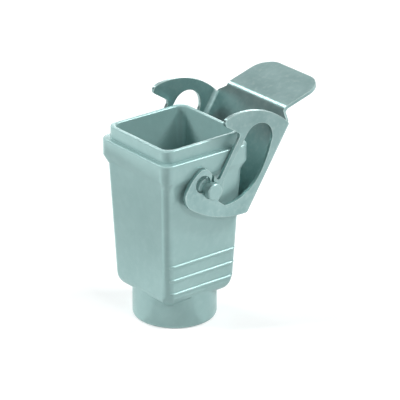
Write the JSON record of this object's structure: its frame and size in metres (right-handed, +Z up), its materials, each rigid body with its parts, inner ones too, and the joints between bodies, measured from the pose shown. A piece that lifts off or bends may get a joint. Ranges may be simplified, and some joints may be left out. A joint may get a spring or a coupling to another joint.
{
  "type": "cable coupler hood with locking lever",
  "caption": "Square die-cast cable coupler hood with a round threaded cable entry below, a stepped neck above and a stamped locking lever on two cast studs, shown open.",
  "frame": {"origin": "centre of the cable entry's mouth, on the axis of the round spigot, in the plane of its lower end face", "axes": "+Z up the hood in the mating direction; X along the lever's pivot axis; +Y towards the lever's cross web"},
  "size_m": [0.0336, 0.0544, 0.0582],
  "materials": {
    "hood_paint": "satin grey-green powder coat on a die casting",
    "zinc_steel": "zinc-plated stamped sheet steel, satin"
  },
  "bodies": {
    "hood": {"housing": "hood_paint"},
    "lever": {"locking_lever": "zinc_steel"}
  },
  "joints": [
    {"name": "lever_pivot", "type": "hinge", "parent": "hood", "child": "lever", "pos_m": [0, 0, 0.0394], "axis": [1, 0, 0], "range_deg": [0, 33]}
  ]
}
